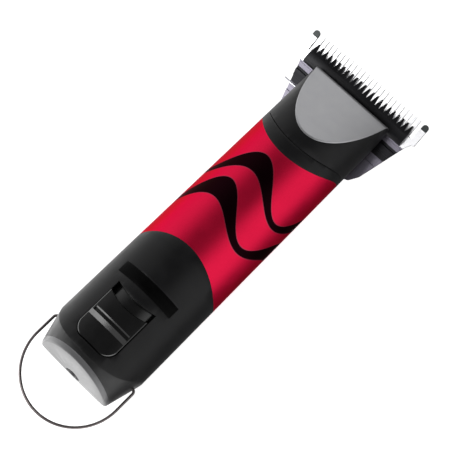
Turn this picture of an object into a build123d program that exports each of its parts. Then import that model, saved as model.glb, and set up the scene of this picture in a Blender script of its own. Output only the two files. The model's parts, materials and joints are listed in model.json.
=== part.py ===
from build123d import *
import os
from math import cos, pi, radians, sin, sqrt, tan

# Hand-held livestock clipper, in millimetres.
# While it is being built, X runs along the handle's axis from the rear end towards the blade,
# Z points up through the thumb switch, and z = 0 is the handle's axis.
# At export everything moves so that the origin is the middle of the bottom of its box.

# ---------------------------------------------------------------- driving dimensions
HANDLE_R_REAR = 22.74          # handle radius carried back to x = 0
HANDLE_TAPER = 0.00646         # loss of radius per millimetre towards the head
BORE_R = 20.0                  # inside of the handle
SPIGOT_R = 18.4                # inside of the joining spigots

# Rear end: an elliptic cone trimmed by a shallow roof whose ridge lies across the handle.
END_HALF_WIDTH = 18.4
END_WIDTH_SLOPE = 0.24
END_HALF_HEIGHT = 15.5
END_HEIGHT_SLOPE = 0.92
ROOF_UP = 0.2                  # roof's x per z, above the ridge
ROOF_DOWN = 0.03               # and below it
END_WALL = 2.4
CAP_EDGE, CAP_ROUND = 1.8, 1.5

# Parting curves, seen from above: where each crosses the top, and its radius.
REAR_ARCH_X, REAR_ARCH_R = 67.3, 34.25
FRONT_ARC_X, FRONT_ARC_R = 122.6, 25.1
SEAM_X, SEAM_R = 129.0, 29.5
SEAM_GAP = 0.3

# Nose: the sloping facet and the front face.
FACET_X, FACET_Z, FACET_SLOPE = 136.4, 21.86, 0.46
NOSE_X = 169.3
BROW_R, BROW_Z = 4.0, 3.8      # rounding between the facet and the front, and where the facet ends
HEAD_WALL = 1.8
FACET_DEPTH = 0.35

# Blade plane: it rises towards the tips.
TIP_X, TIP_Z, BLADE_ANGLE = 182.6, 4.25, 27.0
NOSE_CLEAR = 5.0               # height of the nose's floor above the comb
FLOOR_PLATE = 1.5
COMB_THICK, COMB_TIP_THICK = 3.2, 0.8
COMB_LENGTH = 43.0
FINE_TEETH, COMB_PITCH = 25, 2.35
COMB_HALF = 33.6
CORNER_TOOTH = 3.0
CUTTER_TEETH, CUTTER_PITCH = 23, 2.5
CUTTER_TIP, CUTTER_GULLET, CUTTER_REAR = 4.3, 8.3, 14.6
CUTTER_THICK = 2.4
CUTTER_GAP = 0.02
STEM_HALF, STEM_REAR = 13.0, 29.0
NOTCH_HALF, NOTCH_FRONT, NOTCH_REAR = 3.3, 15.2, 23.0

# Hinge at the heel of the blade set, in the blade's own distances.
HINGE_BACK, HINGE_UP = 47.5, 2.2
HINGE_PIN_R, KNUCKLE_R, EAR_R = 1.25, 2.6, 2.7
FOOT_Z = -22.7                 # lowest face of the hinge bracket, level with the rear housing
FOOT_X0, FOOT_THICK = 124.5, 1.2
HINGE_POCKET = 10.3            # half width of the recess around the bracket
HEEL_X = 138.4                 # rear end of the head's floor
LATCH_Z, LATCH_R, CATCH_X0 = -13.2, 1.5, 125.0

# Screws
SLEEVE_SCREW_XS = (71.0, 118.5)
BASE_SCREW_BACK, BASE_SCREW_Y = 29.0, 14.5
BLADE_SCREW_BACK, BLADE_SCREW_Y = 36.5, 5.0

# Drive
LEVER_X, LEVER_Z0, LEVER_Z1 = 150.0, 2.0, 4.4
LEVER_TIP_X = 164.6
CRANK_THROW = 0.81
CRANK_PIN_R = 1.5
SHAFT_R = 1.6
MOTOR_R, MOTOR_X0, MOTOR_X1 = 16.6, 59.0, 116.0

# Switch
SLOT_HALF, SLOT_FRONT, SLOT_REAR, SLOT_DIP = 10.3, 38.0, 11.4, 1.7
BUTTON_GAP, BUTTON_FRONT, BUTTON_DIP = 0.35, 33.5, 2.0
BUTTON_CROWN_R, BUTTON_TOP = 46.0, 22.3
RIDGE_X0, RIDGE_X1, RIDGE_RISE = 20.6, 22.6, 0.95
GROOVE_DEPTH, GROOVE_X1, LIP_DROP, LIP_X1 = 0.8, 24.2, 0.3, 24.8
BUTTON_BREAK = 0.3             # chamfer round the button's top
SKIRT_R = 19.65                # button's skirt, which slides just inside the handle's bore

# Hanging loop
LOOP_X, LOOP_HALF, LOOP_CENTRE_X, WIRE_R = 13.0, 22.9, 2.5, 0.6

# Inlet
INLET_R = 3.75

# ---------------------------------------------------------------- small helpers
def handle_radius(x):
    return HANDLE_R_REAR - HANDLE_TAPER * x


def rod_x(radius, x0, x1, y=0.0, z=0.0):
    """Cylinder along X."""
    return Pos((x0 + x1) / 2, y, z) * Rot(0, 90, 0) * Cylinder(radius, x1 - x0)


def rod_y(radius, y0, y1, x, z):
    """Cylinder along Y."""
    return Pos(x, (y0 + y1) / 2, z) * Rot(90, 0, 0) * Cylinder(radius, y1 - y0)


def rod_z(radius, z0, z1, x, y=0.0):
    """Cylinder along Z."""
    return Pos(x, y, (z0 + z1) / 2) * Cylinder(radius, z1 - z0)


def block(x0, x1, y0, y1, z0, z1):
    """Box between two corners."""
    return Pos((x0 + x1) / 2, (y0 + y1) / 2, (z0 + z1) / 2) * Box(x1 - x0, y1 - y0, z1 - z0)


def ring_x(outer, inner, x0, x1):
    return rod_x(outer, x0, x1) - rod_x(inner, x0 - 1, x1 + 1)


def side_prism(points, half=60.0):
    """Prism across the handle with its outline in the XZ plane."""
    return extrude(Plane.XZ * Polygon(*points, align=None), amount=half, both=True)


def barrel(inset, x0, x1):
    """Slightly conical handle, inset from its outer skin."""
    cone = Cone(handle_radius(x0) - inset, handle_radius(x1) - inset, x1 - x0)
    return Pos((x0 + x1) / 2, 0, 0) * Rot(0, 90, 0) * cone


def end_ellipse(x, inset):
    half_width = END_HALF_WIDTH + END_WIDTH_SLOPE * x - inset
    half_height = END_HALF_HEIGHT + END_HEIGHT_SLOPE * x - inset
    return Plane.YZ.offset(x) * Ellipse(half_width, half_height)


def roof(start):
    """Everything ahead of the rear end's two slanted faces, moved forward by start."""
    reach = 30.0
    return side_prism([(start, 0), (start + ROOF_UP * reach, reach), (200, reach),
                       (200, -reach), (start + ROOF_DOWN * reach, -reach)])


def rear_form(inset, start):
    """Solid shape of the rear of the handle."""
    cone = loft([end_ellipse(-2.0, inset), end_ellipse(34.0, inset)], ruled=True)
    rear = cone & barrel(inset, -2.0, 34.0) & roof(start)
    return rear + barrel(inset, 34.0, 80.0)


def behind_rear_arch(gap=0.0):
    centre = REAR_ARCH_X - REAR_ARCH_R
    return rod_z(REAR_ARCH_R - gap, -40, 40, centre) + block(-40, centre, -40, 40, -40, 40)


def ahead_of(apex_x, radius, gap=0.0):
    centre = apex_x + radius
    return rod_z(radius - gap, -40, 40, centre) + block(centre, 240, -40, 40, -40, 40)


BLADE = Plane(origin=(TIP_X, 0, TIP_Z),
              x_dir=(cos(radians(BLADE_ANGLE)), 0, sin(radians(BLADE_ANGLE))),
              z_dir=(-sin(radians(BLADE_ANGLE)), 0, cos(radians(BLADE_ANGLE)))).location


def blade_point(back, up):
    """World x and z of a point given by its distance back from the tips and up off the comb."""
    angle = radians(BLADE_ANGLE)
    return (TIP_X - back * cos(angle) - up * sin(angle),
            TIP_Z - back * sin(angle) + up * cos(angle))


def blade_block(back0, back1, y0, y1, up0, up1):
    """Box in the blade's own directions."""
    return BLADE * block(-back1, -back0, y0, y1, up0, up1)


def blade_rod(radius, back, y, up0, up1):
    """Cylinder square to the blade plane."""
    return BLADE * rod_z(radius, up0, up1, -back, y)


HINGE_X, HINGE_Z = blade_point(HINGE_BACK, HINGE_UP)


# ---------------------------------------------------------------- handle shells
def switch_outline(front, rear, half, dip, corner):
    """Plan of the switch: straight sides, a dished front edge and rounded rear corners."""
    edge = Line((rear + corner, half), (front, half))
    dished = ThreePointArc((front, half), (front - dip, 0), (front, -half))
    back = Line((front, -half), (rear + corner, -half))
    bulge = corner * 0.32
    lower = ThreePointArc((rear + corner, -half), (rear + bulge, -half + bulge * 1.1),
                          (rear, -half * 0.35))
    end = Line((rear, -half * 0.35), (rear, half * 0.35))
    upper = ThreePointArc((rear, half * 0.35), (rear + bulge, half - bulge * 1.1),
                          (rear + corner, half))
    return make_face([edge, dished, back, lower, end, upper])


def label_window(depth_out, depth_in):
    """Band across the top where the blank label sits."""
    window = block(41.2, 46.6, -14.3, 14.3, 5, 30)
    return (barrel(-depth_out, 36, 52) - barrel(depth_in, 35, 53)) & window


def make_rear_housing():
    shell = rear_form(0, CAP_EDGE) & behind_rear_arch()
    cavity = rear_form(2.3, END_WALL + 1.2) & barrel(handle_radius(40) - BORE_R, -3, 81)
    shell = shell - cavity
    spigot = ring_x(BORE_R, SPIGOT_R, 54.0, 75.0)
    shell = shell + spigot
    shell = shell - (rear_form(2.2, -5.0) & block(-10, 12, -40, 40, -40, 40))
    slot = extrude(switch_outline(SLOT_FRONT, SLOT_REAR, SLOT_HALF, SLOT_DIP, 5.0), 40)
    shell = shell - slot
    shell = shell - label_window(2.0, 0.5)
    for side in (-1, 1):
        y0, y1 = sorted((side * 15, side * 25))
        shell = shell - rod_y(WIRE_R + 0.05, y0, y1, LOOP_X, 0)
    return shell - screw_hole(SLEEVE_SCREW_XS[0])


def cap_rim(plate):
    """Outer edges of the cap's two slanted faces."""
    rim = []
    for edge in plate.edges():
        middle = edge @ 0.5
        slope = ROOF_UP if middle.Z > 0 else ROOF_DOWN
        if abs(middle.Z) > 3 and abs(middle.X - slope * abs(middle.Z)) < 0.1:
            rim.append(edge)
    return rim


def make_end_cap():
    plate = rear_form(0, 0) - roof(CAP_EDGE)
    plate = fillet(cap_rim(plate), CAP_ROUND)
    collar = rear_form(2.25, CAP_EDGE - 0.2) - roof(4.6)
    inner = rear_form(4.2, CAP_EDGE + 0.6) - roof(5.0)
    cap = plate + (collar - inner)
    boss = rod_x(6.4, 1.5, 7.4)
    cap = cap + boss
    cap = cap - rod_x(INLET_R, -3, 20)
    return cap


def make_handle_sleeve():
    shell = barrel(0, 50, 140) - rod_x(BORE_R, 49, 141)
    shell = shell - behind_rear_arch() - ahead_of(FRONT_ARC_X, FRONT_ARC_R)
    for x in SLEEVE_SCREW_XS:
        shell = shell - screw_hole(x)
    return shell


def make_head_collar():
    shell = barrel(0, 115, 145) - rod_x(BORE_R, 114, 146)
    shell = (shell & ahead_of(FRONT_ARC_X, FRONT_ARC_R)) - ahead_of(SEAM_X, SEAM_R)
    shell = shell + ring_x(BORE_R, SPIGOT_R, 115.5, 134.0)
    shell = shell - block(FOOT_X0 - 0.2, 150, -12.1, 12.1, -40, FOOT_Z + FOOT_THICK + 0.05)
    shell = shell - block(128.4, 150, -HINGE_POCKET, HINGE_POCKET, -40, -11.0)
    shell = shell - catch_window()
    return shell - screw_hole(SLEEVE_SCREW_XS[1])


def catch_window():
    """Opening in the underside for the catch's thumb piece."""
    return block(CATCH_X0 - 2.0, CATCH_X0 + 4.0, -3.4, 3.4, -40, LATCH_Z + 0.5)


def screw_hole(x):
    """Countersunk hole in the underside."""
    head = Pos(x, 0, -21.7) * Cone(2.4, 1.2, 1.3)
    return head + rod_z(1.2, -22.0, -17.0, x) + rod_z(2.4, -30, -22.35, x)


def make_sleeve_screws():
    screws = []
    for x in SLEEVE_SCREW_XS:
        head = Pos(x, 0, -21.7) * Cone(2.38, 1.18, 1.28)
        shank = rod_z(1.18, -21.6, -18.5, x)
        slot = block(x - 2.5, x + 2.5, -0.35, 0.35, -23, -21.8)
        screws.append(head + shank - slot)
    return screws


# ---------------------------------------------------------------- nose
def facet_height(x, inset=0.0):
    return FACET_Z - FACET_SLOPE * (x - FACET_X) - inset * sqrt(1 + FACET_SLOPE ** 2)


def nose_profile(inset, floor_up):
    """Side outline of the nose with its rounded brow, down to a plane floor_up above the comb."""
    front = NOSE_X - inset
    rise = tan(radians(BLADE_ANGLE))
    low_front = TIP_Z + (front - TIP_X) * rise + floor_up / cos(radians(BLADE_ANGLE))
    rear_low = TIP_Z + (HEEL_X - TIP_X) * rise + floor_up / cos(radians(BLADE_ANGLE))
    corner = Vector(front, facet_height(front, inset))
    back_up, down = Vector(-1, FACET_SLOPE).normalized(), Vector(0, -1)
    half = radians(back_up.get_angle(down) / 2)
    radius = BROW_R - inset
    start = corner + back_up * (radius / tan(half))
    end = corner + down * (radius / tan(half))
    middle = corner + (back_up + down).normalized() * (radius / sin(half) - radius)
    rest = Polyline(end, (front, low_front), (HEEL_X, rear_low), (HEEL_X, -40), (100, -40),
                    (100, facet_height(100, inset)), start)
    outline = make_face([ThreePointArc(start, middle, end), rest])
    return extrude(Plane.XZ * outline, amount=60, both=True)


def head_form(inset, floor_up):
    return barrel(inset, 120, 175) & nose_profile(inset, floor_up)


def facet_pocket(depth):
    """Slice just under the sloping facet."""
    over = nose_profile(0, NOSE_CLEAR) - nose_profile(depth, NOSE_CLEAR)
    return over & block(FACET_X - 5, NOSE_X + 1.0, -40, 40, BROW_Z, 40)


def base_bosses(radius):
    posts = [blade_rod(radius, BASE_SCREW_BACK, side * BASE_SCREW_Y, NOSE_CLEAR, 28.0)
             for side in (-1, 1)]
    return posts[0] + posts[1]


def make_head_cap():
    outer = head_form(0, NOSE_CLEAR) & ahead_of(SEAM_X, SEAM_R, SEAM_GAP)
    cavity = barrel(HEAD_WALL, 100, 175) & nose_profile(HEAD_WALL + FACET_DEPTH, -30.0)
    shell = outer - cavity
    posts = base_bosses(2.7) - blade_block(0, 60, -40, 40, 0, NOSE_CLEAR + FLOOR_PLATE)
    shell = shell + (posts & head_form(HEAD_WALL * 0.5, NOSE_CLEAR))
    shell = shell - blade_rod(1.25, BASE_SCREW_BACK, BASE_SCREW_Y, 0, 12.6)
    shell = shell - blade_rod(1.25, BASE_SCREW_BACK, -BASE_SCREW_Y, 0, 12.6)
    shell = shell - facet_pocket(FACET_DEPTH)
    shell = shell - block(110, 150, -HINGE_POCKET, HINGE_POCKET, -40, -11.0)
    return shell


def make_facet_plate():
    return facet_pocket(FACET_DEPTH - 0.02) & barrel(0.02, 120, 175)


def make_head_base():
    wall = HEAD_WALL + 0.05
    inner = barrel(wall, 130, 175) & nose_profile(wall + FACET_DEPTH, -30.0)
    slab = blade_block(8, 46.8, -40, 40, NOSE_CLEAR, NOSE_CLEAR + FLOOR_PLATE)
    plate = (slab & inner) - block(162.4, 168.4, -5.2, 5.2, -20, 20)
    under = blade_block(0, 60, -9, 9, -20, NOSE_CLEAR)
    boss = rod_z(4.0, -9.0, LEVER_Z0 - 1.3, LEVER_X) - under
    heel = block(129.5, HEEL_X - 2.1, -8.3, 8.3, FOOT_Z + FOOT_THICK, -10.6)
    web = block(133.0, 141.5, -8.3, 8.3, -12.6, -9.6) - under
    guide = block(CATCH_X0 - 5.4, 130.0, -5.0, 5.0, -16.6, -10.2)
    chamber = block(CATCH_X0 - 3.9, CATCH_X0 + 3.7, -3.4, 3.4, -20, -10.9)
    base = plate + boss + heel + web + (guide - chamber)
    base = base - rod_z(1.5, -20, 10, LEVER_X)
    for side in (-1, 1):
        y = side * BASE_SCREW_Y
        base = base - blade_rod(1.3, BASE_SCREW_BACK, y, 0, 20)
        sink = Pos(-BASE_SCREW_BACK, y, NOSE_CLEAR + 0.55) * Cone(2.5, 1.3, 1.1)
        base = base - BLADE * sink
    return base - rod_x(LATCH_R + 0.06, 100, 138.0, 0, LATCH_Z)


def make_base_screws():
    screws = []
    for side in (-1, 1):
        head = Pos(-BASE_SCREW_BACK, side * BASE_SCREW_Y, NOSE_CLEAR + 0.55) * Cone(2.45, 1.25, 1.05)
        shank = rod_z(1.22, NOSE_CLEAR + 0.8, 12.0, -BASE_SCREW_BACK, side * BASE_SCREW_Y)
        across = block(-BASE_SCREW_BACK - 3, -BASE_SCREW_BACK + 3, side * BASE_SCREW_Y - 0.3,
                       side * BASE_SCREW_Y + 0.3, NOSE_CLEAR - 1, NOSE_CLEAR + 0.5)
        screws.append(BLADE * (head + shank - across))
    return screws


# ---------------------------------------------------------------- blade set
def comb_outline():
    """Plan of the comb behind its teeth."""
    side = [(-9.0, 33.5), (-11.0, 32.5), (-14.0, 30.8), (-37.0, 24.2), (-41.0, 21.6),
            (-COMB_LENGTH, 17.0)]
    return side + [(x, -y) for x, y in reversed(side)]


def comb_side():
    """Side outline of the comb: thin tips, a flat race, a groove and a sunk floor."""
    return [(0.0, 0.0), (-15.3, 0.0), (-15.6, -1.4), (-18.6, -1.4), (-18.9, 0.0), (-22.0, 0.0),
            (-22.1, -0.7), (-28.6, -0.7), (-28.8, 0.0), (-COMB_LENGTH, 0.0),
            (-COMB_LENGTH, -COMB_THICK), (-12.0, -COMB_THICK), (-1.2, -1.5), (0.0, -COMB_TIP_THICK)]


def make_comb():
    plan = Pos(0, 0, -5) * extrude(Polygon(*comb_outline(), align=None), 10)
    field = FINE_TEETH * COMB_PITCH / 2
    plan = plan + block(-9.5, 0.0, -field, field, -5, 5)
    for side in (-1, 1):
        mid = side * (COMB_HALF - CORNER_TOOTH / 2)
        half = CORNER_TOOTH / 2
        plan = plan + block(-11.0, -half, mid - half, mid + half, -5, 5)
        plan = plan + rod_z(half, -5, 5, -half, mid)
    gaps = []
    for index in range(FINE_TEETH + 1):
        y = (index - FINE_TEETH / 2) * COMB_PITCH
        gaps.append(Polygon((-8.8, y - 0.52), (1.0, y - 0.72), (1.0, y + 0.72), (-8.8, y + 0.52),
                            align=None))
    comb = plan & side_prism(comb_side())
    for gap in gaps:
        comb = comb - Pos(0, 0, -8) * extrude(gap, 16)
    for side in (-1, 1):
        comb = comb - rod_z(1.55, -6, 3, -BLADE_SCREW_BACK, side * BLADE_SCREW_Y)
        comb = comb - Pos(-BLADE_SCREW_BACK, side * BLADE_SCREW_Y, -COMB_THICK + 0.65) * Cone(
            2.9, 1.55, 1.3)
    return BLADE * comb


def make_cutter():
    half = CUTTER_TEETH * CUTTER_PITCH / 2
    points = [(-CUTTER_REAR, half), (-CUTTER_REAR, STEM_HALF), (-STEM_REAR, STEM_HALF),
              (-STEM_REAR, -STEM_HALF), (-CUTTER_REAR, -STEM_HALF), (-CUTTER_REAR, -half)]
    for index in range(CUTTER_TEETH):
        y = (index - CUTTER_TEETH / 2 + 0.5) * CUTTER_PITCH
        points.append((-CUTTER_GULLET, y - 1.1))
        points.append((-CUTTER_TIP, y - 0.28))
        points.append((-CUTTER_TIP, y + 0.28))
        points.append((-CUTTER_GULLET, y + 1.1))
    plan = extrude(Polygon(*points, align=None), 6)
    top = CUTTER_THICK + CUTTER_GAP
    front = side_prism([(-CUTTER_TIP, CUTTER_GAP), (-CUTTER_TIP, 1.1), (-CUTTER_GULLET - 0.6, top),
                        (-12.7, top), (-CUTTER_REAR, 1.0), (-CUTTER_REAR, CUTTER_GAP)])
    stem = block(-STEM_REAR, -CUTTER_REAR + 2.4, -STEM_HALF, STEM_HALF, CUTTER_GAP, top)
    cutter = (plan & front) + stem
    cutter = cutter - block(-NOTCH_REAR, -NOTCH_FRONT, -NOTCH_HALF, NOTCH_HALF, -1, 6)
    return BLADE * cutter


def make_tension_spring():
    top = CUTTER_THICK + CUTTER_GAP
    outline = [(-41.0, 0.0), (-41.0, 0.6), (-33.0, 0.6), (-29.6, top + 0.65), (-24.6, top + 0.65),
               (-24.0, top + 1.2), (-23.6, top + 0.9), (-24.3, top + 0.05), (-29.4, top + 0.05),
               (-32.7, 0.0)]
    band = side_prism(outline)
    arms = (block(-41.5, -23, 10.2, 14.0, -1, 6) + block(-41.5, -23, -14.0, -10.2, -1, 6)
            + block(-29.2, -23, -14.0, 14.0, -1, 6))
    return BLADE * (band & arms)


def make_cutter_guide():
    """Slider between the spring and the cutter, seated in the cutter's stem."""
    top = CUTTER_THICK + CUTTER_GAP
    guide = block(-28.8, -25.0, -8.0, 8.0, top + 0.7, top + 1.9)
    return BLADE * guide


def make_tension_pin():
    return BLADE * rod_y(0.55, 15.2, 30.4, -25.4, -0.14)


def make_blade_socket():
    socket = block(-42.6, -30.6, -9.5, 9.5, 0.0, 4.2)
    socket = socket - block(-45, -31.6, -8.0, 8.0, 1.2, 3.2)
    socket = socket - block(-45, -30, -6.4, 6.4, 3.0, 6)
    for side in (-1, 1):
        socket = socket - rod_z(1.52, -1, 1.3, -BLADE_SCREW_BACK, side * BLADE_SCREW_Y)
    return BLADE * socket


def make_blade_screws():
    screws = []
    for side in (-1, 1):
        y = side * BLADE_SCREW_Y
        head = Pos(-BLADE_SCREW_BACK, y, -COMB_THICK + 0.7) * Cone(2.8, 1.5, 1.25)
        shank = rod_z(1.5, -2.0, 1.15, -BLADE_SCREW_BACK, y)
        across = block(-BLADE_SCREW_BACK - 3, -BLADE_SCREW_BACK + 3, y - 0.35, y + 0.35, -4, -2.7)
        screws.append(BLADE * (head + shank - across))
    return screws


# ---------------------------------------------------------------- hinge and catch
def make_hinge_bracket():
    foot = block(FOOT_X0, 137.0, -12.0, 12.0, FOOT_Z, FOOT_Z + FOOT_THICK)
    bracket = foot - catch_window()
    for side in (-1, 1):
        y0, y1 = sorted((side * 8.55, side * 10.05))
        ear = block(130.5, HINGE_X, y0, y1, FOOT_Z, HINGE_Z + EAR_R)
        ear = ear + rod_y(EAR_R, y0, y1, HINGE_X, HINGE_Z)
        bracket = bracket + ear
    return bracket - rod_y(HINGE_PIN_R + 0.01, -20, 20, HINGE_X, HINGE_Z)


def make_hinge_pin():
    pin = rod_y(HINGE_PIN_R, -10.2, 10.2, HINGE_X, HINGE_Z)
    return pin.clean()


def make_hinge_tongue():
    plate = block(-HINGE_BACK, -31.8, -7.9, 7.9, 1.25, 2.95)
    knuckle = rod_y(KNUCKLE_R, -8.3, 8.3, -HINGE_BACK, HINGE_UP)
    tongue = plate + knuckle - rod_y(HINGE_PIN_R + 0.05, -20, 20, -HINGE_BACK, HINGE_UP)
    for side in (-1, 1):
        tongue = tongue - rod_z(1.8, 0, 4, -BLADE_SCREW_BACK, side * BLADE_SCREW_Y)
    return BLADE * tongue


def make_latch_button():
    """Plunger that slides along X towards the knuckle, with a thumb piece underneath."""
    stem = rod_x(LATCH_R, CATCH_X0 - 4.6, 136.4, 0, LATCH_Z)
    thumb = block(CATCH_X0, CATCH_X0 + 2.6, -3.0, 3.0, FOOT_Z + 0.5, LATCH_Z + 2.0)
    return stem + thumb


def make_latch_spring():
    """Coil around the plunger, behind the thumb piece."""
    wire, turns, clear = 0.4, 3, 0.02
    x0 = CATCH_X0 - 3.9 + wire / 2 + clear
    height = CATCH_X0 - wire / 2 - clear - x0
    path = Helix(pitch=height / turns, height=height, radius=LATCH_R + 0.45)
    section = Plane(origin=path @ 0, z_dir=path % 0) * Circle(wire / 2)
    coil = sweep(section, path=path)
    return Pos(x0, 0, LATCH_Z) * Rot(0, 90, 0) * coil


# ---------------------------------------------------------------- drive
def make_eccentric_hub():
    hub = rod_x(5.0, 128.5, 134.5) - rod_x(SHAFT_R, 128, 133.5)
    crank = rod_x(CRANK_PIN_R, 134.0, 142.0, CRANK_THROW, 0)
    return hub + crank


def make_drive_lever():
    bar = block(139.0, LEVER_TIP_X + 1.7, -2.8, 2.8, LEVER_Z0, LEVER_Z1)
    boss = rod_z(4.6, LEVER_Z0 - 0.8, LEVER_Z1 + 0.8, LEVER_X)
    fork = block(138.9, 142.2, -5.6, 5.6, -3.6, LEVER_Z1)
    gap = 2 * CRANK_THROW + CRANK_PIN_R + 0.25
    lever = bar + boss + fork - block(138, 143, -gap, gap, -5, LEVER_Z1 - 1.6)
    lever = lever - rod_z(2.4, -5, 12, LEVER_X)
    stalk = block(LEVER_TIP_X - 1.7, LEVER_TIP_X + 1.7, -1.9, 1.9, -1.8, LEVER_Z0 + 0.1)
    return lever + stalk


def make_lever_bush():
    height = (LEVER_Z0 - 0.8, LEVER_Z1 + 0.8)
    return rod_z(2.4, *height, LEVER_X) - rod_z(1.55, -5, 12, LEVER_X)


def make_lever_pin():
    return rod_z(1.5, -5.5, LEVER_Z1 + 3.0, LEVER_X)


def make_lever_tip():
    """Hard-wearing shoe on the lever's stalk, which works in the cutter's notch."""
    shoe = block(LEVER_TIP_X - 1.7, LEVER_TIP_X + 1.7, -2.95, 2.95, -3.5, 1.0)
    return shoe - block(LEVER_TIP_X - 3, LEVER_TIP_X + 3, -1.9, 1.9, -1.8, 5)


# ---------------------------------------------------------------- motor
def make_motor_can():
    can = rod_x(MOTOR_R, MOTOR_X0, MOTOR_X1) - rod_x(MOTOR_R - 1.3, MOTOR_X0 - 1, MOTOR_X1 - 1.5)
    neck = rod_x(5.0, MOTOR_X1, MOTOR_X1 + 2.5)
    can = can + neck - rod_x(3.0, MOTOR_X1 - 4, MOTOR_X1 + 6)
    for side in (-1, 1):
        can = can - rod_x(1.25, MOTOR_X1 - 5, MOTOR_X1 + 5, side * 10.0, 0)
    return can


def make_motor_end_bell():
    bell = rod_x(MOTOR_R - 1.35, MOTOR_X0 - 3.0, MOTOR_X0 + 4.0)
    bell = bell - rod_x(12.0, MOTOR_X0 - 1.0, MOTOR_X0 + 6.0)
    bell = bell + rod_x(5.0, MOTOR_X0 - 5.0, MOTOR_X0 + 2.0) - rod_x(3.0, MOTOR_X0 - 8, MOTOR_X0 + 8)
    for side in (-1, 1):
        tab = block(MOTOR_X0 - 6.0, MOTOR_X0 - 3.0, side * 9 - 1.5, side * 9 + 1.5, -0.4, 0.4)
        bell = bell + tab
    return bell


def make_motor_magnets():
    ring = ring_x(MOTOR_R - 1.35, 12.6, MOTOR_X0 + 12, MOTOR_X1 - 8)
    wedge = block(0, 200, -20, 20, 4.5, 20)
    return [ring & wedge, ring & (Rot(180, 0, 0) * wedge)]


def make_rotor_core():
    core = ring_x(12.0, SHAFT_R, MOTOR_X0 + 16, MOTOR_X1 - 12)
    for index in range(5):
        angle = 72.0 * index
        slot = block(MOTOR_X0 + 10, MOTOR_X1, -0.8, 0.8, 8.0, 20)
        hollow = rod_x(2.6, MOTOR_X0 + 10, MOTOR_X1, 0, 7.6)
        core = core - Rot(angle, 0, 0) * (slot + hollow)
    return core


def make_rotor_windings():
    coils = []
    for index in range(5):
        coil = rod_x(2.3, MOTOR_X0 + 13.5, MOTOR_X1 - 9.5, 0, 7.6)
        coils.append(Rot(72.0 * index, 0, 0) * coil)
    return coils


def make_commutator():
    return ring_x(4.6, SHAFT_R, MOTOR_X0 + 5.0, MOTOR_X0 + 13.0)


def make_motor_shaft():
    return rod_x(SHAFT_R, MOTOR_X0 - 6.0, 133.5)


def make_motor_bushes():
    rear = ring_x(3.0, SHAFT_R + 0.03, MOTOR_X0 - 5.0, MOTOR_X0 - 0.5)
    front = ring_x(3.0, SHAFT_R + 0.03, MOTOR_X1 - 1.5, MOTOR_X1 + 2.5)
    return [rear, front]


def make_motor_brushes():
    brushes = []
    for side in (-1, 1):
        y0, y1 = sorted((side * 4.8, side * 11.0))
        brushes.append(block(MOTOR_X0 + 7.0, MOTOR_X0 + 10.5, y0, y1, -2.0, 2.0))
    return brushes


def make_damper_rings():
    return [ring_x(BORE_R - 0.05, MOTOR_R + 0.02, x, x + 6.0) for x in (80.0, 104.0)]


def make_motor_plate():
    plate = rod_x(SPIGOT_R - 0.1, MOTOR_X1, MOTOR_X1 + 3.0) - rod_x(5.05, MOTOR_X1 - 1, 130)
    for side in (-1, 1):
        plate = plate - rod_x(1.3, MOTOR_X1 - 2, MOTOR_X1 + 5, side * 10.0, 0)
    for angle in (45, 135, 225, 315):
        vent = rod_x(2.6, MOTOR_X1 - 2, MOTOR_X1 + 5, 0, 12.5)
        plate = plate - Rot(angle, 0, 0) * vent
    plate = plate - rod_x(LATCH_R + 0.5, MOTOR_X1 - 2, MOTOR_X1 + 5, 0, LATCH_Z)
    return plate


def make_motor_screws():
    screws = []
    for side in (-1, 1):
        shank = rod_x(1.2, MOTOR_X1 - 3.5, MOTOR_X1 + 3.0, side * 10.0, 0)
        head = rod_x(2.3, MOTOR_X1 + 3.0, MOTOR_X1 + 4.6, side * 10.0, 0)
        cross = block(MOTOR_X1 + 4.0, MOTOR_X1 + 5.0, side * 10 - 3, side * 10 + 3, -0.3, 0.3)
        screws.append(shank + head - cross)
    return screws


# ---------------------------------------------------------------- switch and wiring
def crowned(raised0, raised1, x0, x1):
    """Stretch under the button's crowned top, raised by a different amount at either end."""
    cone = Cone(BUTTON_CROWN_R + raised0, BUTTON_CROWN_R + raised1, x1 - x0)
    return Pos((x0 + x1) / 2, 0, BUTTON_TOP - BUTTON_CROWN_R) * Rot(0, 90, 0) * cone


def make_switch_button():
    outline = switch_outline(BUTTON_FRONT, SLOT_REAR + BUTTON_GAP, SLOT_HALF - BUTTON_GAP,
                             BUTTON_DIP, 4.8)
    body = extrude(outline, 40) - rod_x(SKIRT_R - 1.1, 4, 51)
    cap = body & crowned(0, 0.001, 5, 50)
    rim = [edge for edge in cap.edges() if (edge @ 0.5).Z > 21.0]
    cap = chamfer(rim, BUTTON_BREAK)
    inner = SLOT_HALF - BUTTON_GAP - BUTTON_BREAK
    middle = block(5, 50, -inner, inner, 10, 40)
    ridge = crowned(0, RIDGE_RISE, RIDGE_X0, RIDGE_X1) & body & middle
    above = block(RIDGE_X1, LIP_X1, 0.5 - inner, inner - 0.5, 10, 40)
    groove = above - crowned(-GROOVE_DEPTH, -GROOVE_DEPTH + 0.001, RIDGE_X1 - 1, GROOVE_X1)
    groove = groove - crowned(-LIP_DROP, 0, GROOVE_X1, LIP_X1)
    skirt = ring_x(SKIRT_R, SKIRT_R - 1.1, 10.6, 43.0) & block(0, 60, -12.2, 12.2, 0, 40)
    return (cap + ridge) - groove + skirt


def make_switch_link():
    return block(24.0, 28.0, -3.0, 3.0, 14.4, 19.0) & rod_x(SKIRT_R - 1.1, 20, 30)


def make_slide_switch():
    body = block(17.0, 36.0, -5.5, 5.5, 7.0, 13.0)
    body = body - block(21.0, 35.0, -2.2, 2.2, 11.0, 14.0)
    for index in range(3):
        x = 20.5 + 6.0 * index
        body = body + block(x, x + 1.0, -3.0, 3.0, 3.6, 7.0)
    return body


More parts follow.
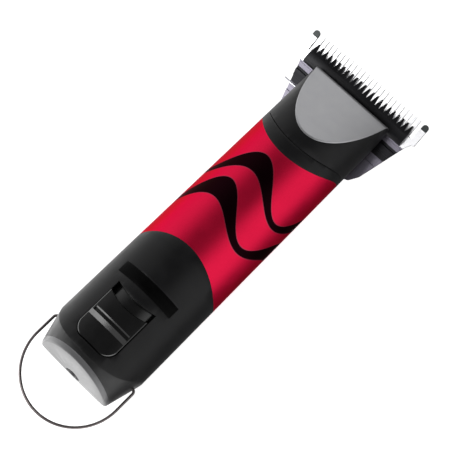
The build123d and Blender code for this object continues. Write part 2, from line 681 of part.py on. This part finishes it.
def make_switch_wiper():
    return block(24.4, 27.6, -1.9, 1.9, 11.3, 14.4)


def make_circuit_board():
    board = block(20.0, 50.0, -14.0, 14.0, -2.6, -1.0)
    board = board + block(26.0, 34.0, -10.0, -3.0, -1.0, 1.4) + block(38.0, 46.0, 2.0, 11.0, -1.0, 3.0)
    board = board + rod_z(3.6, -1.0, 6.0, 41.0, -7.0)
    return board


def make_dc_socket():
    body = rod_x(5.6, 7.4, 18.0) - rod_x(3.2, 6, 16.0)
    for side in (-1, 1):
        body = body + block(18.0, 20.6, side * 3 - 0.9, side * 3 + 0.9, -0.3, 0.3)
    return body - rod_x(1.0, 10, 30)


def make_dc_pin():
    return rod_x(1.0, 8.2, 18.0)


def wire(points, radii):
    path = FilletPolyline(*points, radius=radii)
    section = Plane(origin=path @ 0, z_dir=path % 0) * Circle(0.6)
    return sweep(section, path=path)


def make_lead_wires():
    wires = []
    for side in (-1, 1):
        inlet_lead = [(20.7, side * 3.0, 0), (23.0, side * 3.0, 0), (26.0, side * 6.0, 3.4),
                      (30.0, side * 12.4, 3.4), (30.0, side * 12.4, -0.95)]
        motor_lead = [(47.5, side * 12.0, -0.95), (47.5, side * 12.0, 3.6),
                      (50.0, side * 9.0, 3.6), (50.8, side * 9.0, 0.0),
                      (MOTOR_X0 - 6.05, side * 9.0, 0.0)]
        wires.append(wire(inlet_lead, 1.0))
        wires.append(wire(motor_lead, 0.9))
    return wires


# ---------------------------------------------------------------- hanging loop
def make_bail_wire():
    """Half-round loop with straight arms whose ends turn in to the pivots."""
    bend = 1.6
    arm = LOOP_X - bend
    half = LOOP_HALF
    inner = 18.9
    first = Line((LOOP_X, inner), (LOOP_X, half - bend))
    corner = ThreePointArc((LOOP_X, half - bend), (arm + bend * cos(pi / 4), half - bend
                                                   + bend * sin(pi / 4)), (arm, half))
    run = Line((arm, half), (LOOP_CENTRE_X, half))
    bow = ThreePointArc((LOOP_CENTRE_X, half), (LOOP_CENTRE_X - half, 0), (LOOP_CENTRE_X, -half))
    back = Line((LOOP_CENTRE_X, -half), (arm, -half))
    corner_b = ThreePointArc((arm, -half), (arm + bend * cos(pi / 4), -half + bend
                                            - bend * sin(pi / 4)), (LOOP_X, -half + bend))
    last = Line((LOOP_X, -half + bend), (LOOP_X, -inner))
    path = Wire([first, corner, run, bow, back, corner_b, last])
    section = Plane(origin=(LOOP_X, inner, 0), z_dir=(0, 1, 0)) * Circle(WIRE_R)
    return sweep(section, path=path)


# ---------------------------------------------------------------- export
def build_all():
    return {
        "rear_housing": make_rear_housing(),
        "end_cap": make_end_cap(),
        "handle_sleeve": make_handle_sleeve(),
        "sleeve_screws": make_sleeve_screws(),
        "head_collar": make_head_collar(),
        "head_cap": make_head_cap(),
        "facet_plate": make_facet_plate(),
        "head_base": make_head_base(),
        "base_screws": make_base_screws(),
        "label_plate": label_window(0.12, 0.5),
        "switch_button": make_switch_button(),
        "switch_link": make_switch_link(),
        "switch_wiper": make_switch_wiper(),
        "slide_switch": make_slide_switch(),
        "circuit_board": make_circuit_board(),
        "dc_socket": make_dc_socket(),
        "dc_pin": make_dc_pin(),
        "lead_wires": make_lead_wires(),
        "motor_can": make_motor_can(),
        "motor_end_bell": make_motor_end_bell(),
        "motor_magnets": make_motor_magnets(),
        "motor_bushes": make_motor_bushes(),
        "motor_brushes": make_motor_brushes(),
        "damper_rings": make_damper_rings(),
        "motor_plate": make_motor_plate(),
        "motor_screws": make_motor_screws(),
        "motor_shaft": make_motor_shaft(),
        "rotor_core": make_rotor_core(),
        "rotor_windings": make_rotor_windings(),
        "commutator": make_commutator(),
        "eccentric_hub": make_eccentric_hub(),
        "drive_lever": make_drive_lever(),
        "lever_bush": make_lever_bush(),
        "lever_tip": make_lever_tip(),
        "lever_pin": make_lever_pin(),
        "hinge_bracket": make_hinge_bracket(),
        "hinge_pin": make_hinge_pin(),
        "hinge_tongue": make_hinge_tongue(),
        "latch_button": make_latch_button(),
        "latch_spring": make_latch_spring(),
        "comb_blade": make_comb(),
        "cutter_blade": make_cutter(),
        "cutter_guide": make_cutter_guide(),
        "tension_spring": make_tension_spring(),
        "tension_pin": make_tension_pin(),
        "blade_socket": make_blade_socket(),
        "blade_screws": make_blade_screws(),
        "bail_wire": make_bail_wire(),
    }


X_REAR = LOOP_CENTRE_X - LOOP_HALF - WIRE_R
X_FRONT = TIP_X + COMB_TIP_THICK * sin(radians(BLADE_ANGLE))
TO_ORIGIN = Pos(-(X_REAR + X_FRONT) / 2, 0, -FOOT_Z)

os.makedirs("parts", exist_ok=True)
for name, shape in build_all().items():
    solids = shape if isinstance(shape, list) else [shape]
    pieces = [TO_ORIGIN * solid for part in solids for solid in part.solids()]
    export_step(Compound(children=pieces) if len(pieces) > 1 else pieces[0], f"parts/{name}.step")
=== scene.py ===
"""Hand-held livestock clipper: finishes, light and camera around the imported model."""
import json
import math

import bpy
from mathutils import Matrix, Vector


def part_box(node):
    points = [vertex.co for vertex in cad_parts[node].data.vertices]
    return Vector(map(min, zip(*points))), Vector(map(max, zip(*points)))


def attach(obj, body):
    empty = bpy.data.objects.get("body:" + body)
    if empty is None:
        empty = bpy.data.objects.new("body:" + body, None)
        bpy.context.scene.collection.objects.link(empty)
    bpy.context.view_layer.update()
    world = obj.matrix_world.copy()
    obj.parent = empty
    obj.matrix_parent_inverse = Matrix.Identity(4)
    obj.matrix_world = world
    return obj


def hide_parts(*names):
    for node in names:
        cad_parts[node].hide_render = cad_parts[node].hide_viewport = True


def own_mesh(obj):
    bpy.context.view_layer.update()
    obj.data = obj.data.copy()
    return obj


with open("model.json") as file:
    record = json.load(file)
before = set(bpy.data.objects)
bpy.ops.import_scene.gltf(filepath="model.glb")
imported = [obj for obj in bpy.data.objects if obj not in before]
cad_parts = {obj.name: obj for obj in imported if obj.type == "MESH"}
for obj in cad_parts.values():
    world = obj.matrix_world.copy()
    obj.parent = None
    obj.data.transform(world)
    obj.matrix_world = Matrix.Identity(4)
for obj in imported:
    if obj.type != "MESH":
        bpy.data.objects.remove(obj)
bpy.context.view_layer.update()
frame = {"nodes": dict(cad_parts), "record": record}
NODES = frame["nodes"]
SLOTS = {entry["node"]: entry["material_slot"] for entry in frame["record"]["subparts"]}

MM = 0.001

# The handle: the height of its centre line, and the sleeve's lowest and highest corners.
AXIS_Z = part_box("motor_can")[0].z / 2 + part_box("motor_can")[1].z / 2
SLEEVE_LOW, SLEEVE_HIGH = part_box("handle_sleeve")

# Each printed wave: its place along the sleeve, its swing, its phase and half its width.
WAVES = [(-9.0 * MM, 7.0 * MM, 0.4, 3.4 * MM), (9.0 * MM, 7.0 * MM, 0.9, 3.0 * MM)]
WAVES_ROUND = 3.0              # whole waves in one turn round the sleeve
WAVE_SWELL = 0.55              # share of its half width by which a wave swells and thins
WAVE_OUTLINE = 0.3 * MM

# The comb: its tilt, and distances back from its tips to the tones painted on it: painted shade on
# its heel, a black band, and painted shade on the corner teeth's tips.
BLADE_TILT = math.radians(27.0)
TIP_BACK = 3.3 * MM
HEEL_BACK = 14.9 * MM
BAND_BACK = (17.8 * MM, 25.0 * MM)
CORNER_TOOTH = 3.2 * MM        # width of a corner tooth, whose tip gets painted shade

FRONT_SHADE = 2.3 * MM         # width of the painted shade along the sloping plate's front edge, where it rolls under
DARK_GRIND = 0.93              # how dark a grinding line is next to the steel
NOISE_RANGE = (0.3, 0.7)       # where most of a noise texture's values lie

# Edges: the angle past which they are sharp, and how wide a band is rounded off.
EDGE_ANGLE = math.radians(32)
SHALLOW_ANGLE = math.radians(18)
SHALLOW_EDGES = {"switch_button", "facet_plate", "head_cap", "end_cap", "rear_housing",
                 "comb_blade"}
EDGE_WIDTH = 0.15 * MM
EDGE_WIDTHS = {"cutter_blade": 0.08 * MM, "facet_plate": 0.08 * MM, "label_plate": 0.04 * MM,
               "end_cap": 0.05 * MM, "rear_housing": 0.3 * MM}
BARE_EDGES = {"comb_blade", "bail_wire", "lead_wires", "rotor_windings", "latch_spring",
              "handle_sleeve", "switch_button"}
WELD_GAP = 0.002 * MM

# The room: its own light, the floor's, and each glow's direction, the angles in degrees from
# it where the glow starts and is full, and its level.
ROOM = 0.12
FLOOR_SIZE, FLOOR_DROP, FLOOR_GLOW = 6.0, 0.1 * MM, 0.72
GLOWS = [((0.0, -0.90, 0.44), 53, 15, 1.10),
         ((0.0, 0.985, -0.17), 82, 30, 0.9),
         ((-0.60, 0.25, -0.76), 55, 10, 2.1),
         ((0.88, 0.17, 0.44), 30, 5, 1.02),
         ((-0.62, -0.75, -0.16), 42, 10, 2.9),
         ((-0.45, 0.82, -0.32), 42, 10, 1.4),
         ((-0.80, -0.12, 0.55), 30, 8, 0.8)]
KEY_PLACE, KEY_AIM = (-0.58, 0.44, 0.78), (0.0, 0.0, 0.02)
KEY_SIZE, KEY_POWER = 0.55, 5.0

# The camera: its place, the directions of its right and up, and its lens in millimetres.
CAMERA_PLACE = (-0.108680, -0.085201, 0.489059)
CAMERA_RIGHT = (0.69260, -0.72004, 0.04296)
CAMERA_UP = (0.68038, 0.67191, 0.29261)
CAMERA_LENS, CAMERA_SENSOR, CAMERA_NEAR = 91.84, 36.0, 0.01


# ---------------------------------------------------------------- node helpers
class Finish:
    """One material with its Principled shader, and short calls that add texture nodes."""

    def __init__(self, name, colour, rough, metallic=0.0):
        self.material = bpy.data.materials.new(name)
        self.material.use_nodes = True
        self.nodes = self.material.node_tree.nodes
        self.links = self.material.node_tree.links
        self.shader = self.nodes["Principled BSDF"]
        self.coords = self.nodes.new("ShaderNodeTexCoord").outputs["Object"]
        self.set("Base Color", (*colour, 1.0))
        self.set("Roughness", rough)
        self.set("Metallic", metallic)

    def set(self, socket, value):
        """Sets a constant on one of the shader's own sockets."""
        self.shader.inputs[socket].default_value = value

    def link(self, source, target):
        self.links.new(source, target)

    def axes(self):
        """The object coordinates as three separate outputs, X, Y and Z."""
        parts = self.nodes.new("ShaderNodeSeparateXYZ")
        self.link(self.coords, parts.inputs["Vector"])
        return parts.outputs["X"], parts.outputs["Y"], parts.outputs["Z"]

    def stretched(self, scale):
        """Object coordinates, in metres, multiplied by one factor for each axis."""
        mapping = self.nodes.new("ShaderNodeMapping")
        mapping.inputs["Scale"].default_value = scale
        self.link(self.coords, mapping.inputs["Vector"])
        return mapping.outputs["Vector"]

    def noise(self, size, detail, stretch=(1, 1, 1)):
        """Noise whose grain is about size metres, from 0 to 1."""
        texture = self.nodes.new("ShaderNodeTexNoise")
        texture.inputs["Scale"].default_value = 1.0 / size
        texture.inputs["Detail"].default_value = detail
        self.link(self.stretched(stretch), texture.inputs["Vector"])
        return texture.outputs["Fac"]

    def spread(self, value, low, high):
        """Maps a noise's usual range onto low to high."""
        remap = self.nodes.new("ShaderNodeMapRange")
        remap.inputs["From Min"].default_value = NOISE_RANGE[0]
        remap.inputs["From Max"].default_value = NOISE_RANGE[1]
        remap.inputs["To Min"].default_value = low
        remap.inputs["To Max"].default_value = high
        self.link(value, remap.inputs["Value"])
        return remap.outputs["Result"]

    def math(self, operation, first, second=0.0):
        """One sum of two values, each an output or a number."""
        node = self.nodes.new("ShaderNodeMath")
        node.operation = operation
        for socket, value in zip(node.inputs, (first, second)):
            if isinstance(value, (int, float)):
                socket.default_value = value
            else:
                self.link(value, socket)
        return node.outputs["Value"]

    def mix(self, factor, first, second):
        """Mixes two colours, each a colour output or three numbers."""
        node = self.nodes.new("ShaderNodeMix")
        node.data_type = "RGBA"
        self.link(factor, node.inputs["Factor"])
        for name, value in (("A", first), ("B", second)):
            socket = [s for s in node.inputs if s.name == name and s.type == "RGBA"][0]
            if isinstance(value, tuple):
                socket.default_value = (*value, 1.0)
            else:
                self.link(value, socket)
        return [s for s in node.outputs if s.type == "RGBA"][0]

    def bump(self, height, distance, strength):
        """Adds a bump of the given depth in metres, on top of any earlier one."""
        node = self.nodes.new("ShaderNodeBump")
        node.inputs["Strength"].default_value = strength
        node.inputs["Distance"].default_value = distance
        self.link(height, node.inputs["Height"])
        normal = self.shader.inputs["Normal"]
        if normal.is_linked:
            self.link(normal.links[0].from_socket, node.inputs["Normal"])
        self.link(node.outputs["Normal"], normal)

    def vary(self, size, low, high, stretch=(1, 1, 1)):
        """Lets the roughness wander between low and high."""
        patches = self.noise(size, 4.0, stretch)
        self.link(self.spread(patches, low, high), self.shader.inputs["Roughness"])

    def tint(self, size, first, second, stretch=(1, 1, 1)):
        """Lets the colour wander between two close shades."""
        patches = self.noise(size, 4.0, stretch)
        factor = self.spread(patches, 0.0, 1.0)
        self.link(self.mix(factor, first, second), self.shader.inputs["Base Color"])


# ---------------------------------------------------------------- plastics
def satin_plastic(name, colour, paler):
    """Moulded plastic with a fine spark-eroded grain and faint handling marks."""
    finish = Finish(name, colour, 0.34)
    finish.set("Specular IOR Level", 0.2)
    finish.tint(9 * MM, colour, paler)
    finish.vary(6 * MM, 0.34, 0.44)
    finish.bump(finish.noise(0.35 * MM, 2.0), 0.012 * MM, 0.5)
    return finish.material


def end_plastic():
    """The end cap's charcoal plastic, smoother and shinier than the handle."""
    finish = Finish("end_plastic", (0.06, 0.06, 0.063), 0.34)
    finish.tint(7 * MM, (0.058, 0.058, 0.061), (0.063, 0.063, 0.066))
    finish.vary(6 * MM, 0.33, 0.36)
    finish.bump(finish.noise(0.35 * MM, 2.0), 0.01 * MM, 0.5)
    return finish.material


def label_film():
    """The blank label's deep black film, which hardly reflects."""
    finish = Finish("label_black", (0.0008, 0.0008, 0.0008), 0.4)
    finish.set("Specular IOR Level", 0.04)
    finish.vary(5 * MM, 0.32, 0.6)
    finish.bump(finish.noise(1.5 * MM, 2.0), 0.006 * MM, 0.4)
    return finish.material


def switch_gloss():
    """Polished black plastic whose edges catch the light, with faint fingertip smears."""
    finish = Finish("switch_gloss", (0.0015, 0.0015, 0.0016), 0.2)
    finish.set("Specular IOR Level", 0.6)
    finish.vary(4 * MM, 0.18, 0.24)
    finish.bump(finish.noise(0.5 * MM, 2.0), 0.002 * MM, 0.4)
    return finish.material


def soft_rubber(name, colour):
    """Dull rubber or wire insulation with a slightly uneven skin."""
    finish = Finish(name, colour, 0.7)
    finish.vary(1.2 * MM, 0.6, 0.8)
    finish.bump(finish.noise(0.5 * MM, 3.0), 0.02 * MM, 0.6)
    return finish.material


# ---------------------------------------------------------------- paints, and painted shade on the sloping plate
def wave_bands(finish):
    """Black ribbons that wind round the sleeve: returns their mask and their outline's."""
    middle = (SLEEVE_LOW.x + SLEEVE_HIGH.x) / 2
    along, across, up = finish.axes()
    turn = finish.math("ARCTAN2", across, finish.math("SUBTRACT", up, AXIS_Z))
    nearest = None
    for offset, swing, phase, half in WAVES:
        angle = finish.math("ADD", finish.math("MULTIPLY", turn, WAVES_ROUND), phase)
        sway = finish.math("MULTIPLY", finish.math("SINE", angle), swing)
        centre = finish.math("ADD", sway, middle + offset)
        away = finish.math("ABSOLUTE", finish.math("SUBTRACT", along, centre))
        swell = finish.math("MULTIPLY", finish.math("SINE", angle), half * WAVE_SWELL)
        beyond = finish.math("SUBTRACT", away, finish.math("ADD", swell, half))
        nearest = beyond if nearest is None else finish.math("MINIMUM", nearest, beyond)
    inside = finish.math("LESS_THAN", nearest, 0.0)
    outline = finish.math("LESS_THAN", nearest, WAVE_OUTLINE)
    return inside, outline


def red_lacquer():
    """Metallic red lacquer with a fine flake, and a printed wave pattern."""
    red, deep = (0.72, 0.012, 0.058), (0.62, 0.008, 0.045)
    halo, ink = (0.34, 0.04, 0.075), (0.006, 0.001, 0.002)
    finish = Finish("red_lacquer", red, 0.36, metallic=0.92)
    finish.set("Specular Tint", (0.56, 0.12, 0.26, 1.0))
    flake = finish.spread(finish.noise(0.25 * MM, 1.0), 0.0, 1.0)
    paint = finish.mix(flake, deep, red)
    inside, outline = wave_bands(finish)
    edged = finish.mix(outline, paint, halo)
    finish.link(finish.mix(inside, edged, ink), finish.shader.inputs["Base Color"])
    finish.vary(8 * MM, 0.33, 0.40)
    finish.bump(finish.noise(0.3 * MM, 1.0), 0.004 * MM, 0.4)
    finish.bump(finish.math("SUBTRACT", 1.0, inside), 0.02 * MM, 0.3)
    return finish.material


def facet_paint_and_shade():
    """Grey metallic paint on the nose's sloping plate, with painted shade along its front edge."""
    finish = Finish("facet_paint_and_shade", (0.40, 0.40, 0.41), 0.36, metallic=0.85)
    finish.tint(4 * MM, (0.375, 0.375, 0.39), (0.39, 0.39, 0.40))
    # Painted shade: the grey darkens to near black towards the plate's front edge, where the
    # rounded edge turns from the light.
    back = finish.math("SUBTRACT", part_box("facet_plate")[1].x, finish.axes()[0])
    lit = finish.math("MINIMUM", finish.math("DIVIDE", back, FRONT_SHADE), 1.0)
    base = finish.shader.inputs["Base Color"]
    finish.link(finish.mix(lit, (0.05, 0.05, 0.055), base.links[0].from_socket), base)
    finish.vary(5 * MM, 0.37, 0.40)
    finish.bump(finish.noise(0.3 * MM, 2.0), 0.006 * MM, 0.5)
    return finish.material


# ---------------------------------------------------------------- metals
def ground_steel(name, colour, rough=(0.28, 0.36), along=(1.0, 0.05, 1.0)):
    """Metal with fine grinding lines; along holds a small factor for their direction."""
    finish = Finish(name, colour, rough[0], metallic=1.0)
    finish.vary(1.2 * MM, *rough, stretch=along)
    darker = tuple(value * DARK_GRIND for value in colour)
    finish.tint(1.6 * MM, darker, colour, stretch=along)
    return finish


def comb_steel():
    """Ground steel with bright teeth, painted shade on its heel and on the corner teeth's bevelled
    tips, and a black band.
    """
    # The heel and the corner tips are painted shade, darker than the steel is; the band is plain
    # black.
    heel_painted_shade, band_black, tip_painted_shade = (0.18, 0.17, 0.205), (0.02, 0.02, 0.022), (0.05, 0.055, 0.055)
    finish = ground_steel("comb_steel", (0.86, 0.86, 0.88))
    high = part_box("comb_blade")[1]
    tips = high.x * math.cos(BLADE_TILT) + high.z * math.sin(BLADE_TILT)
    along, across, up = finish.axes()
    ahead = finish.math("ADD", finish.math("MULTIPLY", along, math.cos(BLADE_TILT)),
                        finish.math("MULTIPLY", up, math.sin(BLADE_TILT)))
    back = finish.math("SUBTRACT", tips, ahead)
    heel = finish.math("GREATER_THAN", back, HEEL_BACK)
    band = finish.math("MULTIPLY", finish.math("GREATER_THAN", back, BAND_BACK[0]),
                       finish.math("LESS_THAN", back, BAND_BACK[1]))
    corner = finish.math("GREATER_THAN", finish.math("ABSOLUTE", across), high.y - CORNER_TOOTH)
    tip = finish.math("MULTIPLY", finish.math("LESS_THAN", back, TIP_BACK), corner)
    base = finish.shader.inputs["Base Color"]
    colour = base.links[0].from_socket
    for zone, tone in ((heel, heel_painted_shade), (band, band_black), (tip, tip_painted_shade)):
        colour = finish.mix(zone, colour, tone)
    finish.link(colour, base)
    return finish.material


def blackened_steel():
    """Black oxide with faint grinding lines across the blade."""
    finish = Finish("blackened_steel", (0.008, 0.008, 0.009), 0.34, metallic=0.3)
    finish.set("Specular IOR Level", 0.2)
    finish.tint(2 * MM, (0.006, 0.006, 0.007), (0.014, 0.014, 0.016), stretch=(1.0, 0.1, 1.0))
    finish.vary(1.0 * MM, 0.28, 0.4, stretch=(1.0, 0.1, 1.0))
    finish.bump(finish.noise(0.3 * MM, 2.0), 0.003 * MM, 0.5)
    return finish.material


def plain_metal(name, colour, rough):
    """Bare or plated metal with faint handling marks."""
    finish = Finish(name, colour, rough, metallic=1.0)
    finish.vary(3 * MM, rough * 0.85, rough * 1.2)
    finish.bump(finish.noise(0.8 * MM, 2.0), 0.002 * MM, 0.4)
    return finish.material


# ---------------------------------------------------------------- one finish for each slot
# Satin plastics wander between two shades; plain metals have a colour and a roughness.
SATIN_PLASTICS = {
    "black_plastic": ((0.003, 0.003, 0.0033), (0.005, 0.005, 0.0054)),
    "inner_plastic": ((0.62, 0.60, 0.54), (0.68, 0.66, 0.60)),
    "switch_case": ((0.05, 0.05, 0.06), (0.07, 0.07, 0.08)),
    "guide_plastic": ((0.06, 0.06, 0.07), (0.08, 0.08, 0.09)),
    "lever_tip": ((0.74, 0.72, 0.66), (0.78, 0.76, 0.70)),
    "board_green": ((0.02, 0.12, 0.05), (0.03, 0.16, 0.06)),
    "brush_carbon": ((0.03, 0.03, 0.03), (0.05, 0.05, 0.05)),
}
RUBBERS = {"wire_red": (0.45, 0.02, 0.02), "damper_rubber": (0.03, 0.03, 0.03)}
PLAIN_METALS = {
    "contact_copper": ((0.72, 0.40, 0.24), 0.3),
    "brass": ((0.72, 0.52, 0.24), 0.3),
    "nickel": ((0.72, 0.70, 0.66), 0.15),
    "screw_steel": ((0.50, 0.50, 0.52), 0.3),
    "motor_steel": ((0.56, 0.56, 0.58), 0.3),
    "lever_steel": ((0.48, 0.48, 0.50), 0.3),
    "spring_steel": ((0.62, 0.62, 0.66), 0.2),
    "bail_steel": ((0.16, 0.14, 0.14), 0.34),
    "magnet": ((0.10, 0.10, 0.11), 0.5),
}
FINISHES = {
    "end_plastic": end_plastic(),
    "label_black": label_film(),
    "switch_black": switch_gloss(),
    "red_plastic": red_lacquer(),
    "facet_grey": facet_paint_and_shade(),
    "blade_steel": comb_steel(),
    "cutter_black": blackened_steel(),
    "copper_wire": ground_steel("copper_wire", (0.72, 0.30, 0.14), along=(0.05, 1, 1)).material,
    "core_iron": ground_steel("core_iron", (0.3, 0.3, 0.31), (0.4, 0.5), (0.03, 1, 1)).material,
}
for name, (colour, paler) in SATIN_PLASTICS.items():
    FINISHES[name] = satin_plastic(name, colour, paler)
for name, colour in RUBBERS.items():
    FINISHES[name] = soft_rubber(name, colour)
for name, (colour, rough) in PLAIN_METALS.items():
    FINISHES[name] = plain_metal(name, colour, rough)


# ---------------------------------------------------------------- pieces
def soften_edges(piece, width, angle):
    """Joins the split faces and rounds the sharp edges, as moulding and grinding leave them."""
    weld = piece.modifiers.new("join", "WELD")
    weld.merge_threshold = WELD_GAP
    bevel = piece.modifiers.new("edges", "BEVEL")
    bevel.width = width
    bevel.segments = 2
    bevel.limit_method = "ANGLE"
    bevel.angle_limit = angle
    bevel.harden_normals = True


def dress(node):
    """Gives a CAD piece its slot's finish, smooth shading and softened edges."""
    piece = NODES[node]
    piece.data.materials.clear()
    piece.data.materials.append(FINISHES[SLOTS[node]])
    piece.data.shade_smooth()
    angle = SHALLOW_ANGLE if node in SHALLOW_EDGES else EDGE_ANGLE
    piece.data.set_sharp_from_angle(angle=angle)
    if node not in BARE_EDGES:
        soften_edges(piece, EDGE_WIDTHS.get(node, EDGE_WIDTH), angle)


def shortening_coil(node):
    """Shows a copy of a coil spring, attached to the housing, in place of the original."""
    coil = bpy.data.objects.new(node + "_coil", NODES[node].data.copy())
    bpy.context.scene.collection.objects.link(coil)
    coil.matrix_world = NODES[node].matrix_world
    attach(coil, "housing")
    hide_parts(node)
    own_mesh(coil)


# ---------------------------------------------------------------- floor, light and camera
def floor():
    """A white floor just under the clipper, bright enough to vanish behind it."""
    bpy.ops.mesh.primitive_plane_add(size=FLOOR_SIZE, location=(0.0, 0.0, -FLOOR_DROP))
    plane = bpy.context.object
    plane.name = "floor"
    finish = Finish("floor_white", (0.8, 0.8, 0.8), 0.9)
    finish.set("Specular IOR Level", 0.0)
    finish.set("Emission Color", (1.0, 1.0, 1.0, 1.0))
    finish.set("Emission Strength", FLOOR_GLOW)
    plane.data.materials.append(finish.material)
    plane.visible_glossy = False


def key_light():
    """A square softbox above and behind the handle."""
    light = bpy.data.lights.new("key_box", "AREA")
    light.shape = "RECTANGLE"
    light.size = KEY_SIZE
    light.size_y = KEY_SIZE
    light.energy = KEY_POWER
    lamp = bpy.data.objects.new("key_box", light)
    bpy.context.scene.collection.objects.link(lamp)
    lamp.location = KEY_PLACE
    beam = Vector(KEY_AIM) - Vector(KEY_PLACE)
    lamp.rotation_euler = beam.to_track_quat("-Z", "Y").to_euler()


def camera():
    """Looks down on the clipper from just behind it, turned so the blade points up and right."""
    data = bpy.data.cameras.new("camera")
    data.lens = CAMERA_LENS
    data.sensor_width = CAMERA_SENSOR
    data.clip_start = CAMERA_NEAR
    seat = bpy.data.objects.new("camera", data)
    bpy.context.scene.collection.objects.link(seat)
    right, up = Vector(CAMERA_RIGHT), Vector(CAMERA_UP)
    turned = Matrix((right, up, right.cross(up))).transposed().to_4x4()
    seat.matrix_world = Matrix.Translation(CAMERA_PLACE) @ turned
    bpy.context.scene.camera = seat


def studio():
    """A dim room with broad soft glows, brightest where they face their direction."""
    world = bpy.data.worlds.new("studio")
    world.use_nodes = True
    nodes, links = world.node_tree.nodes, world.node_tree.links
    coords = nodes.new("ShaderNodeTexCoord").outputs["Generated"]
    total = None
    for direction, edge, core, level in GLOWS:
        facing = nodes.new("ShaderNodeVectorMath")
        facing.operation = "DOT_PRODUCT"
        links.new(coords, facing.inputs[0])
        facing.inputs[1].default_value = Vector(direction).normalized()
        fade = nodes.new("ShaderNodeMapRange")
        fade.interpolation_type = "SMOOTHSTEP"
        fade.inputs["From Min"].default_value = math.cos(math.radians(edge))
        fade.inputs["From Max"].default_value = math.cos(math.radians(core))
        fade.inputs["To Max"].default_value = level
        links.new(facing.outputs["Value"], fade.inputs["Value"])
        summed = nodes.new("ShaderNodeMath")
        summed.inputs[0].default_value = ROOM
        if total is not None:
            links.new(total, summed.inputs[0])
        links.new(fade.outputs["Result"], summed.inputs[1])
        total = summed.outputs["Value"]
    links.new(total, nodes["Background"].inputs["Strength"])
    nodes["Background"].inputs["Color"].default_value = (1, 1, 1, 1)
    bpy.context.scene.world = world


for node in SLOTS:
    dress(node)
shortening_coil("latch_spring")
floor()
studio()
key_light()
camera()
bpy.context.scene.view_settings.view_transform = "Standard"
